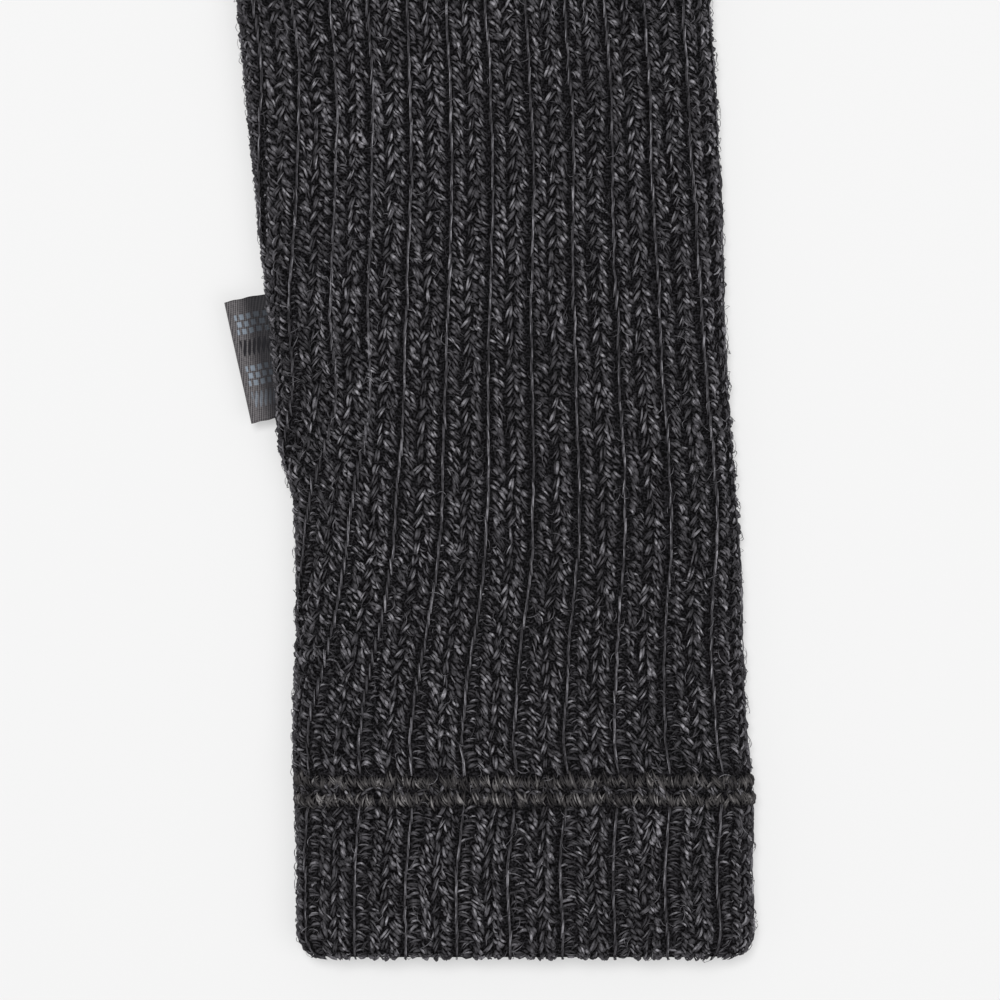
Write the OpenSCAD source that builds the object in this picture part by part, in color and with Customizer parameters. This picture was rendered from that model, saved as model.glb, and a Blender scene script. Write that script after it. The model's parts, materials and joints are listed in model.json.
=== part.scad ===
// Knitted fingerless glove, one hand, laid flat with its fingers towards +Y and its label towards -X.
// One ribbed panel is wrapped round the hand and sewn along the left edge; the seam is left open
// for the thumb. Both ends are turned in and held by a twin row of stitching.

/* [Glove] */
// Length from the wrist fold to the finger fold
glove_l = 250; // [208:1:320]
// Flat width at the wrist hem
wrist_w = 80.8; // [64:0.2:110]
// Flat width at the narrow place above the wrist hem
waist_w = 78.2; // [62:0.2:108]
// Flat width at the label
palm_w = 80.4; // [64:0.2:110]
// Flat width at the thumb opening
thumb_w = 85; // [68:0.2:118]
// Flat width at the finger hem
finger_w = 83.4; // [66:0.2:112]
// Height of the narrow place above the wrist fold
waist_y = 74; // [55:1:85]
// Height of the label's middle above the wrist fold
palm_y = 106.5; // [96:0.5:108]
// How far the finger end leans towards the label
lean = 14; // [0:0.5:24]
// Radius of the outline's corners at the two folds
corner_r = 5; // [3:0.5:8]

/* [Knit] */
// Thickness of one layer of knit
knit_t = 2; // [1.4:0.1:2.6]
// Hollow between the two layers of the palm as it lies
palm_gap = 6.8; // [6:0.1:9]

/* [Hems] */
// Depth of the turned wrist hem
wrist_hem_d = 33; // [22:1:38]
// Depth of the turned finger hem
finger_hem_d = 18; // [12:1:22]
// Thickness of the layer that is turned in
turned_t = 1.6; // [1.2:0.1:2]
// Hollow between the two sides of a hem as it lies
hem_gap = 5; // [4.6:0.1:6]

/* [Thumb opening] */
// Length of the opening in the side seam
thumb_l = 38; // [28:1:46]
// Distance from the finger fold down to the opening
thumb_end_d = 36; // [32:1:40]

/* [Stitching] */
// Width of one row of hem stitching
row_w = 2.4; // [1.6:0.1:2.8]
// Distance between the middles of the two rows
row_pitch = 3.1; // [3:0.1:4]
// How far thread stands proud of the knit
thread_proud = 0.3; // [0.1:0.05:0.5]
// Width of the seam between the panel's two edges
seam_w = 1.2; // [1:0.1:2]
// How far the sewn edges reach inside the glove
allowance_w = 4; // [3:0.5:6]

/* [Label] */
// Width of the label's ribbon, measured along the seam
label_w = 21.9; // [14:0.1:24]
// How far the middle of the label stands out from its fold line
label_out = 4.8; // [3.5:0.1:6]
// Turn of the label against the seam
label_tilt = 6; // [0:0.2:10]
// Thickness of the ribbon
ribbon_t = 0.4; // [0.2:0.05:0.5]
// Outside radius of the label's fold
fold_r = 0.75; // [0.6:0.05:0.9]

/* [Hidden] */
layer_clear = 0.05;      // between the panel and the layer turned in behind it
seam_clear = 0.05;       // between the seam and the panel's edges
seam_taper = 0.6;        // the seam's width inside, as a share of its width outside
hinge_out = 0.9;         // from the knit's edge out to the label's fold line
hinge_clear = 0.35;      // from the fold line to the moving ribbon
tail_clear = 0.75;       // from the fold line to the tails, which the ribbon's root swings past
tail_l = 3.6;            // how deep the tails reach into the seam
joined_l = 1.6;          // where the ribbon's two layers lie against each other at its root
slot_end = 0.1;          // gap between the layers where they come together
hem_step = 6;            // length over which a hem thins to the palm
slit_ramp = 9;           // length over which the thumb opening widens at each end
edge_r = 1.2;            // radius of the rolled edge of the thumb opening
edge_run = 4;            // from an end of the opening to the rolled edge
tack_pitch = 0.8;        // between neighbouring threads of a bar tack
tack_r = 0.45;           // radius of a bar tack's thread
tack_count = 4;          // threads in a bar tack
tack_h = 3.4;            // length of a bar tack's thread across the seam
thread_bite = 0.3;       // how deep a row of stitching bites into the layer turned in
allowance_t = 2.2;       // thickness of the panel's two edges where they are sewn together
allowance_clear = 0.3;   // from the panel's inside to those edges
arc_n = 6;               // steps in a quarter of a side edge
flat_n = 6;              // steps across the top or the underside
station = 9;             // spacing of the rings along the glove

thread_depth = knit_t + layer_clear + thread_bite;
palm_t = 2 * knit_t + palm_gap;
hem_t = 2 * (knit_t + layer_clear + turned_t) + hem_gap;
turn_r = (knit_t + layer_clear + turned_t) / 2;
slit_end = glove_l - thumb_end_d;
slit_start = slit_end - thumb_l;
slit_mid = (slit_start + slit_end) / 2;
// Middle of the twin rows at each hem
wrist_rows = wrist_hem_d - row_w / 2 - row_pitch / 2;
finger_rows = glove_l - finger_hem_d + row_w / 2 + row_pitch / 2;

// Widths and sideways shifts up the glove, as [height, value]
width_points = [
    [0, wrist_w], [wrist_hem_d, wrist_w], [waist_y, waist_w],
    [palm_y, palm_w], [slit_mid, thumb_w], [glove_l, finger_w]
];
shift_points = [
    [0, 0], [wrist_hem_d, 0.01 * lean], [waist_y, 0.08 * lean],
    [palm_y, 0.31 * lean], [slit_mid, 0.7 * lean], [glove_l, lean]
];

function place(y, p, i = 0) = i >= len(p) - 2 || y < p[i + 1][0] ? i : place(y, p, i + 1);
function rise(p, a, b) = (p[b][1] - p[a][1]) / (p[b][0] - p[a][0]);
function slope(p, i) = rise(p, max(i - 1, 0), min(i + 1, len(p) - 1));
function curve(y, p) =
    let (i = place(y, p), h = p[i + 1][0] - p[i][0], t = (y - p[i][0]) / h)
    p[i][1] * (1 + 2 * t) * pow(1 - t, 2) + slope(p, i) * h * t * pow(1 - t, 2)
    + p[i + 1][1] * t * t * (3 - 2 * t) + slope(p, i + 1) * h * t * t * (t - 1);

function ease(t) = let (k = min(max(t, 0), 1)) k * k * (3 - 2 * k);
function corner(y) =
    let (e = corner_r - min(y, glove_l - y, corner_r))
    corner_r - sqrt(corner_r * corner_r - e * e);
function left_raw(y) = -curve(y, shift_points) - curve(y, width_points) / 2;
function right_raw(y) = -curve(y, shift_points) + curve(y, width_points) / 2;
function thick(y) =
    let (out = max(ease((wrist_hem_d + hem_step - y) / hem_step),
                   ease((y - glove_l + finger_hem_d + hem_step) / hem_step)))
    palm_t + (hem_t - palm_t) * out;
function slit(y) = ease((y - slit_start) / slit_ramp) * ease((slit_end - y) / slit_ramp);

// The object's box is centred on the origin
label_turn = atan2(left_raw(palm_y + label_w / 2) - left_raw(palm_y - label_w / 2), label_w);
label_tip = left_raw(palm_y) - hinge_out - label_out - sin(label_tilt - label_turn) * label_w / 2;
outline = [for (y = [0 : 1 : glove_l]) y];
row_heights = concat([for (s = [-1, 1]) wrist_rows + s * row_pitch / 2],
                     [for (s = [-1, 1]) finger_rows + s * row_pitch / 2]);
x_low = min(concat([label_tip], [for (y = outline) left_raw(y) + corner(y)],
                   [for (y = row_heights) left_raw(y) - thread_proud]));
x_high = max(concat([for (y = outline) right_raw(y) - corner(y)],
                    [for (y = row_heights) right_raw(y) + thread_proud]));
x_mid = (x_low + x_high) / 2;
y_mid = glove_l / 2;

function left(y) = left_raw(y) + corner(y) - x_mid;
function right(y) = right_raw(y) - corner(y) - x_mid;

// A point on the ring at height y and depth d under the surface, never below the underside
function lay(x, y, z) = [x, y - y_mid, max(z, 0)];
function end_arc(y, d, x, turn) =
    let (r = thick(y) / 2 - d)
    lay(x + r * sin(turn), y, thick(y) / 2 + r * cos(turn));
// The left edge, from the top or underside (t = 0) to the panel's cut edge (t = 1)
function seam_arc(y, d, side, t, gap) =
    let (
        half = thick(y) / 2, r = half - d,
        turn = (90 - gap / 2 / half * 180 / PI) * t,
        m = gap > 0 ? slit(y) : 0,
        x_shut = -r * sin(turn), z_shut = r * cos(turn),
        x_open = -half * t, z_open = r
    )
    lay(left(y) + half + x_shut + (x_open - x_shut) * m, y, half + side * (z_shut + (z_open - z_shut) * m));

function ring(y, d, gap) =
    let (half = thick(y) / 2, a = left(y) + half, b = right(y) - half, r = half - d)
    concat(
        [for (i = [arc_n : -1 : 0]) seam_arc(y, d, 1, i / arc_n, gap)],
        [for (i = [1 : flat_n - 1]) lay(a + (b - a) * i / flat_n, y, half + r)],
        [for (i = [0 : 2 * arc_n]) end_arc(y, d, b, 90 * i / arc_n)],
        [for (i = [1 : flat_n - 1]) lay(b + (a - b) * i / flat_n, y, half - r)],
        [for (i = [0 : arc_n - (gap > 0 ? 0 : 1)]) seam_arc(y, d, -1, i / arc_n, gap)]
    );

// Two triangles for each cell between neighbouring rows of points
function cell(a, b, c, d) = [[a, b, c], [a, c, d]];
function skin(rows, cols, shut) = [
    for (r = [0 : rows - 1], c = [0 : cols - (shut ? 1 : 2)])
        let (s = (r + 1) % rows, e = (c + 1) % cols)
        each cell(r * cols + c, r * cols + e, s * cols + e, s * cols + c)
];
// Ends of an open band whose rows run up the outside and back down the inside
function band_end(rows, cols, c, flip) = [
    for (r = [0 : rows / 2 - 2])
        let (
            a = r * cols + c, b = (r + 1) * cols + c,
            e = (rows - 2 - r) * cols + c, f = (rows - 1 - r) * cols + c
        )
        each flip ? cell(f, e, b, a) : cell(a, b, e, f)
];

// A closed profile of [height, depth] points carried round the glove
module wrap(profile, gap = 0) {
    rings = [for (p = profile) ring(p[0], p[1], gap)];
    rows = len(rings);
    cols = len(rings[0]);
    ends = gap > 0 ? concat(band_end(rows, cols, 0, false), band_end(rows, cols, cols - 1, true)) : [];
    polyhedron([for (r = rings) each r], concat(skin(rows, cols, gap == 0), ends));
}

// A solid carried along the glove through loops of points
module along(loops) {
    n = len(loops[0]);
    last = len(loops) - 1;
    sides = [
        for (r = [0 : last - 1], c = [0 : n - 1])
            let (e = (c + 1) % n)
            each cell(r * n + c, (r + 1) * n + c, (r + 1) * n + e, r * n + e)
    ];
    start = [for (c = [1 : n - 2]) [0, c, c + 1]];
    finish = [for (c = [1 : n - 2]) [last * n, last * n + c + 1, last * n + c]];
    polyhedron([for (p = loops) each p], concat(sides, start, finish));
}

function steps(a, b, most) = let (n = ceil((b - a) / most)) [for (i = [0 : n]) a + (b - a) * i / n];
function hem_heights(depth) = concat(
    [for (i = [0 : 3]) turn_r + (corner_r - turn_r) * i / 4], steps(corner_r, depth, station));
function mirrored(list) = [for (i = [1 : len(list)]) glove_l - list[len(list) - i]];
panel_heights = concat(
    hem_heights(wrist_hem_d),
    steps(wrist_hem_d, wrist_hem_d + hem_step, hem_step / 3),
    steps(wrist_hem_d + hem_step, slit_start, station),
    steps(slit_start, slit_start + slit_ramp, slit_ramp / 4),
    steps(slit_start + slit_ramp, slit_end - slit_ramp, station),
    steps(slit_end - slit_ramp, slit_end, slit_ramp / 4),
    steps(slit_end, glove_l - finger_hem_d - hem_step, station),
    steps(glove_l - finger_hem_d - hem_step, glove_l - finger_hem_d, hem_step / 3),
    mirrored(hem_heights(finger_hem_d))
);
function no_twins(list) =
    [for (i = [0 : len(list) - 1]) if (i == 0 || list[i] - list[i - 1] > 0.01) list[i]];
// The panel's own heights between two others, so that what lies along its edges bends as it does
function heights_between(y0, y1) =
    no_twins(concat([y0], [for (y = panel_heights) if (y > y0 && y < y1) y], [y1]));

module knit_panel() {
    up = no_twins(panel_heights);
    n = len(up);
    color("#2f2e30")
        wrap(concat([for (y = up) [y, 0]], [for (i = [1 : n]) [up[n - i], knit_t]]), seam_w);
}

// The turned end: a half-round fold and the layer behind the panel, measured from the fold
function turned_profile(up) =
    let (d0 = knit_t + layer_clear, d1 = d0 + turned_t, n = len(up))
    concat(
        [for (a = [90 : -30 : -90]) [turn_r - turn_r * cos(a), turn_r - turn_r * sin(a)]],
        [for (i = [1 : n - 1]) [up[i], d1]],
        [for (i = [1 : n]) [up[n - i], d0]],
        [[turn_r - layer_clear, d0], [turn_r - layer_clear, knit_t / 2]]
    );

module wrist_hem() {
    color("#2b2a2c")
        wrap(turned_profile(hem_heights(wrist_hem_d)));
}

module finger_hem() {
    p = turned_profile(hem_heights(finger_hem_d));
    n = len(p);
    color("#2b2a2c")
        wrap([for (i = [1 : n]) [glove_l - p[n - i][0], p[n - i][1]]]);
}

// One row of hem stitching right round the glove
module stitch_row(y) {
    middle = (thread_depth - thread_proud) / 2;
    reach = (thread_depth + thread_proud) / 2;
    color("#201c1a")
        wrap([for (a = [0 : 60 : 300]) [y + row_w / 2 * sin(a), middle + reach * cos(a)]]);
}

module wrist_stitch_lower() stitch_row(wrist_rows - row_pitch / 2);
module wrist_stitch_upper() stitch_row(wrist_rows + row_pitch / 2);
module finger_stitch_lower() stitch_row(finger_rows - row_pitch / 2);
module finger_stitch_upper() stitch_row(finger_rows + row_pitch / 2);

// Thread that closes the gap between the panel's two edges
module seam_line(y0, y1) {
    color("#262527")
        along([for (y = heights_between(y0, y1))
            let (half = thick(y) / 2, x = left(y), w = seam_w / 2 - seam_clear)
            [
                lay(x + seam_clear, y, half + w),
                lay(x + knit_t, y, half + w * seam_taper),
                lay(x + knit_t, y, half - w * seam_taper),
                lay(x + seam_clear, y, half - w)
            ]]);
}

module side_seam_lower() seam_line(corner_r, slit_start);
module side_seam_upper() seam_line(slit_end, glove_l - corner_r);

// The panel's sewn edges, lying together inside the glove
module seam_allowance(y0, y1) {
    color("#29282a")
        along([for (y = heights_between(y0, y1))
            let (half = thick(y) / 2, a = left(y) + knit_t + allowance_clear, b = a + allowance_w)
            [
                lay(a, y, half + allowance_t / 2),
                lay(b, y, half + allowance_t / 2),
                lay(b, y, half - allowance_t / 2),
                lay(a, y, half - allowance_t / 2)
            ]]);
}

module seam_allowance_lower() seam_allowance(wrist_hem_d + hem_step, slit_start - 1);
module seam_allowance_upper() seam_allowance(slit_end + 1, glove_l - finger_hem_d - hem_step / 3);

// The two rolled edges of the thumb opening
module thumb_edge() {
    for (side = [1, -1])
        color("#2b2a2c")
            along([for (y = steps(slit_start + edge_run, slit_end - edge_run, station / 3))
                let (c = seam_arc(y, edge_r, side, 1, seam_w))
                [for (a = [0 : 45 : 315]) [c[0] + edge_r * sin(a), c[1], c[2] + edge_r * cos(a)]]]);
}

module bar_tack(y) {
    first = y - y_mid - (tack_count - 1) / 2 * tack_pitch;
    color("#1f1d1e")
        for (i = [0 : tack_count - 1])
            translate([left(y) + tack_r, first + i * tack_pitch, (thick(y) - tack_h) / 2])
                cylinder(r = tack_r, h = tack_h, $fn = 24);
}

module thumb_tack_lower() bar_tack(slit_start + tack_pitch);
module thumb_tack_upper() bar_tack(slit_end - tack_pitch);

// The label's frame: its origin on the fold line, +Y up the seam, -X away from the knit
module label_frame() {
    translate([left(palm_y) - hinge_out, palm_y - y_mid, thick(palm_y) / 2])
        rotate([0, 0, -label_turn])
            children();
}

// A flattened loop of ribbon that narrows from its fold to its two joined ends
module ribbon_loop(l) {
    turns = [90 : 15 : 270];
    inner = fold_r - ribbon_t;
    difference() {
        polygon(concat([for (a = turns) [fold_r + fold_r * cos(a), fold_r * sin(a)]],
                       [[l, -ribbon_t], [l, ribbon_t]]));
        polygon(concat([for (a = turns) [fold_r + inner * cos(a), inner * sin(a)]],
                       [[l - joined_l, -slot_end / 2], [l - joined_l, slot_end / 2]]));
    }
}

module label_loop() {
    far = label_w;
    // The slanted ribbon runs past its fold line and is cut along it
    spare = tan(label_tilt) * label_w / 2;
    color("#4a4b50")
        label_frame()
            intersection() {
                rotate([0, 0, label_tilt])
                    translate([-label_out, label_w / 2, 0])
                        rotate([90, 0, 0])
                            linear_extrude(height = label_w)
                                ribbon_loop(label_out + spare);
                translate([-hinge_clear - far, -far, -far])
                    cube([far, 2 * far, 2 * far]);
            }
}

module label_tails() {
    color("#3c3d42")
        label_frame()
            translate([tail_clear, -label_w / 2, -ribbon_t])
                cube([tail_l, label_w, 2 * ribbon_t]);
}

knit_panel();
wrist_hem();
finger_hem();
side_seam_lower();
side_seam_upper();
seam_allowance_lower();
seam_allowance_upper();
thumb_edge();
thumb_tack_lower();
thumb_tack_upper();
wrist_stitch_lower();
wrist_stitch_upper();
finger_stitch_lower();
finger_stitch_upper();
label_loop();
label_tails();
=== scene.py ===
import json
import logging
import math
from dataclasses import dataclass, field, replace
from enum import Enum
from typing import Callable, Sequence

import bpy
import numpy as np
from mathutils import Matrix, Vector


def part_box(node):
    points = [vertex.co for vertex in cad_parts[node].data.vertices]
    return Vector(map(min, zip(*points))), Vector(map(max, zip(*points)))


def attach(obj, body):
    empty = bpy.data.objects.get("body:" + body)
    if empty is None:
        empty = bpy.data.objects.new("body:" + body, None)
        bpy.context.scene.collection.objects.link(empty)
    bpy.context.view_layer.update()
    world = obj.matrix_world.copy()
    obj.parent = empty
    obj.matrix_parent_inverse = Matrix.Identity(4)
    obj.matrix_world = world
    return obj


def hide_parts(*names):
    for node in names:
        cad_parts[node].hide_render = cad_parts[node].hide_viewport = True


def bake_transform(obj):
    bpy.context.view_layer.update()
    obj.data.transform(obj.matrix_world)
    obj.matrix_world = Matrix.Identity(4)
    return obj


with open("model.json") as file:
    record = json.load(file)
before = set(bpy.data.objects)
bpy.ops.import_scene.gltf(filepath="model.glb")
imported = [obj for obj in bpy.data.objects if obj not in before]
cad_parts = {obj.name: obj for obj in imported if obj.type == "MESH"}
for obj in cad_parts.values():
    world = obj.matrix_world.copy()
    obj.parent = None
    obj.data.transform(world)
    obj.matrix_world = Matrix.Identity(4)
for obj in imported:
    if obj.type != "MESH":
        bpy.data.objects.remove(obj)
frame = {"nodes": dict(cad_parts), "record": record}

LOG = logging.getLogger("glove")
MM = 0.001
TAU = 2 * math.pi
SEED = 41
HEM_ROWS = ("wrist_stitch_lower", "wrist_stitch_upper", "finger_stitch_lower", "finger_stitch_upper")


# ---------------------------------------------------------------- small helpers


def ease(value: np.ndarray) -> np.ndarray:
    """Return the smooth step of a value that runs from 0 to 1."""
    k = np.clip(value, 0.0, 1.0)
    return k * k * (3 - 2 * k)


def bump(value: np.ndarray, width: float) -> np.ndarray:
    """Return a bell of height 1 at zero that falls off over a width."""
    return np.exp(-((value / width) ** 2))


def hashed(*parts: np.ndarray) -> np.ndarray:
    """Mix whole numbers into even random values.

    Args:
        parts: Arrays of whole numbers that broadcast together.

    Returns:
        Values from 0 to 1, the same for the same numbers.
    """
    total = np.zeros(np.broadcast(*parts).shape)
    for n, part in enumerate(parts):
        total = total + np.asarray(part, float) * (12.9898 + 65.233 * n)
    return np.modf(np.abs(np.sin(total) * 43758.5453))[0]


def drift(x: np.ndarray, seed: int, scale: float) -> np.ndarray:
    """Return a slow wander from -1 to 1 along a line.

    Args:
        x: Places along the line.
        seed: Picks one wander among many.
        scale: Length of its slowest wave.

    Returns:
        The wander at each place.
    """
    rng = np.random.default_rng(seed)
    total = np.zeros(np.shape(x))
    for n in range(1, 5):
        total = total + np.sin(TAU * n * np.asarray(x) / scale + rng.uniform(0, TAU)) / n
    return total / 2.1


def clear_selection() -> None:
    """Leave nothing selected, so that an operator acts on new work alone."""
    if bpy.context.object is not None and bpy.context.object.mode != "OBJECT":
        bpy.ops.object.mode_set(mode="OBJECT")
    bpy.ops.object.select_all(action="DESELECT")


# ---------------------------------------------------------------- shader maths


class Shader:
    """A material's node tree with short ways to add to it."""

    def __init__(self, name: str) -> None:
        """Start an empty material.

        Args:
            name: The material's name.
        """
        self.material = bpy.data.materials.new(name)
        self.material.use_nodes = True
        self.tree = self.material.node_tree
        self.tree.nodes.clear()

    def node(self, kind: str, settings: dict | None = None, **inputs) -> bpy.types.Node:
        """Add a node.

        Args:
            kind: The node's type.
            settings: Properties set before the sockets; a ramp's stops under "stops".
            inputs: Values or sockets by input name, with _ for a space.

        Returns:
            The new node.
        """
        made = self.tree.nodes.new(kind)
        for key, value in (settings or {}).items():
            if key == "stops":
                self._stops(made, value)
            else:
                setattr(made, key, value)
        for key, value in inputs.items():
            wanted = key.replace("_", " ").strip()
            target = made.inputs[int(wanted)] if wanted.isdigit() else made.inputs[wanted]
            if isinstance(value, Value):
                value = value.socket
            if isinstance(value, bpy.types.NodeSocket):
                self.tree.links.new(value, target)
            else:
                target.default_value = value
        return made

    @staticmethod
    def _stops(ramp: bpy.types.Node, stops: Sequence[tuple[float, tuple]]) -> None:
        """Set a colour ramp's stops.

        Args:
            ramp: The ramp node.
            stops: Pairs of position and colour.
        """
        elements = ramp.color_ramp.elements
        while len(elements) > 1:
            elements.remove(elements[-1])
        elements[0].position, elements[0].color = stops[0]
        for position, colour in stops[1:]:
            elements.new(position).color = colour

    def value(self, socket: bpy.types.NodeSocket) -> "Value":
        """Wrap a socket for arithmetic."""
        return Value(self, socket)

    def noise(self, place: bpy.types.NodeSocket, scale: float, detail: float, **inputs) -> "Value":
        """Return noise at a place, with any more of the texture's inputs."""
        made = self.node("ShaderNodeTexNoise", Vector=place, Scale=scale, Detail=detail, **inputs)
        return self.value(made.outputs[0])

    def relief(self, strength: float, distance: float, height: "Value") -> bpy.types.NodeSocket:
        """Return the normal of a surface raised by a height."""
        return self.node("ShaderNodeBump", Strength=strength, Distance=distance, Height=height).outputs[0]

    def math(self, operation: str, *values) -> "Value":
        """Add a Math node.

        Args:
            operation: Its operation.
            values: Numbers or wrapped sockets.

        Returns:
            Its wrapped result.
        """
        made = self.tree.nodes.new("ShaderNodeMath")
        made.operation = operation
        for n, value in enumerate(values):
            if isinstance(value, Value):
                self.tree.links.new(value.socket, made.inputs[n])
            else:
                made.inputs[n].default_value = value
        return Value(self, made.outputs[0])

    def blend(self, share, first, second) -> bpy.types.NodeSocket:
        """Mix two colours.

        Args:
            share: How much of the second, a number or wrapped socket.
            first: A colour or a socket.
            second: A colour or a socket.

        Returns:
            The mixed colour's socket.
        """
        made = self.tree.nodes.new("ShaderNodeMix")
        made.data_type = "RGBA"
        for index, value in ((0, share), (6, first), (7, second)):
            if isinstance(value, Value):
                value = value.socket
            if isinstance(value, bpy.types.NodeSocket):
                self.tree.links.new(value, made.inputs[index])
            else:
                made.inputs[index].default_value = value
        return made.outputs[2]

    def finish(self, **inputs) -> bpy.types.Material:
        """Add the surface shader and the output.

        Args:
            inputs: The surface shader's inputs, with _ for a space.

        Returns:
            The finished material.
        """
        surface = self.node("ShaderNodeBsdfPrincipled", **inputs)
        self.node("ShaderNodeOutputMaterial", Surface=surface.outputs[0])
        return self.material


@dataclass(frozen=True)
class Value:
    """A socket that takes part in Python arithmetic."""

    shader: Shader
    socket: bpy.types.NodeSocket

    def __add__(self, other) -> "Value":
        """Return the sum."""
        return self.shader.math("ADD", self, other)

    __radd__ = __add__

    def __mul__(self, other) -> "Value":
        """Return the product."""
        return self.shader.math("MULTIPLY", self, other)

    __rmul__ = __mul__

    def __sub__(self, other) -> "Value":
        """Return the difference."""
        return self.shader.math("SUBTRACT", self, other)

    def __rsub__(self, other) -> "Value":
        """Return the difference the other way round."""
        return self.shader.math("SUBTRACT", other, self)

    def __pow__(self, other) -> "Value":
        """Return the power."""
        return self.shader.math("POWER", self, other)

    def between(self, low: float, high: float) -> "Value":
        """Return 0 below low and 1 above high, smooth between."""
        ranged = self.shader.node(
            "ShaderNodeMapRange", {"interpolation_type": "SMOOTHSTEP"},
            Value=self, From_Min=low, From_Max=high,
        )
        return Value(self.shader, ranged.outputs[0])


@dataclass(frozen=True)
class WoolFinish:
    """Heathered wool yarn: dark and pale fibres twisted into plies."""

    name: str
    dark: tuple[float, float, float, float] = (0.0064, 0.0061, 0.0067, 1)
    middle: tuple[float, float, float, float] = (0.095, 0.0915, 0.1, 1)
    pale: tuple[float, float, float, float] = (0.41, 0.4, 0.43, 1)
    fibres_round: float = 2.6
    fibre_length: float = 1.5
    relief: float = 0.7

    def material(self) -> bpy.types.Material:
        """Build the yarn material.

        Returns:
            A material that reads the Yarn UV map and a per-vertex attribute of random tone with painted shade
            in it.
        """
        sh = Shader(self.name)
        yarn = sh.node("ShaderNodeUVMap", {"uv_map": "Yarn"})
        parts = sh.node("ShaderNodeSeparateXYZ", Vector=yarn.outputs[0])
        along, round_it = sh.value(parts.outputs[0]), sh.value(parts.outputs[1])
        # Random tone for each ply, with painted shade at the ply ends and near the glove's edges.
        fleck_and_shade = sh.value(sh.node("ShaderNodeAttribute", {"attribute_name": "fleck_and_shade"}).outputs["Fac"])
        turned = round_it + along * 0.12

        def fibres(across: float, length: float, seed: float) -> Value:
            """Return noise drawn out along the yarn."""
            place = sh.node(
                "ShaderNodeCombineXYZ", X=turned * across, Y=along * (1 / length), Z=fleck_and_shade * 91.7 + seed
            )
            return sh.noise(place.outputs[0], 1.0, 2.0, Roughness=0.6)

        coarse = fibres(self.fibres_round, self.fibre_length, 0.0)
        fine = fibres(self.fibres_round * 3.4, 1.1, 7.3)
        tone = coarse * 0.75 + fine * 0.35 + fleck_and_shade * 0.5
        body = sh.blend(tone.between(0.36, 0.98), self.dark, self.middle)
        colour = sh.blend(tone.between(0.84, 1.28) * 0.85, body, self.pale)
        relief = sh.relief(self.relief, 0.00012, fine + coarse * 0.5)
        return sh.finish(
            Base_Color=colour,
            Roughness=0.95,
            Specular_IOR_Level=0.07,
            Normal=relief,
            Sheen_Weight=0.03,
            Sheen_Roughness=0.5,
            Sheen_Tint=(0.6, 0.6, 0.64, 1),
        )


@dataclass(frozen=True)
class CoreFinish:
    """The shaded wool between and behind the stitches."""

    name: str = "wool_shadow"
    dark: tuple[float, float, float, float] = (0.0022, 0.0021, 0.0023, 1)
    pale: tuple[float, float, float, float] = (0.027, 0.026, 0.029, 1)

    def material(self) -> bpy.types.Material:
        """Build a dark felted material that reads Object coordinates."""
        sh = Shader(self.name)
        where = sh.node("ShaderNodeTexCoord").outputs["Object"]
        fine = sh.noise(where, 2600.0, 3.0)
        colour = sh.blend(fine.between(0.4, 0.75), self.dark, self.pale)
        relief = sh.relief(0.6, 0.0003, fine)
        return sh.finish(Base_Color=colour, Roughness=0.95, Specular_IOR_Level=0.04, Normal=relief)


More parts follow.
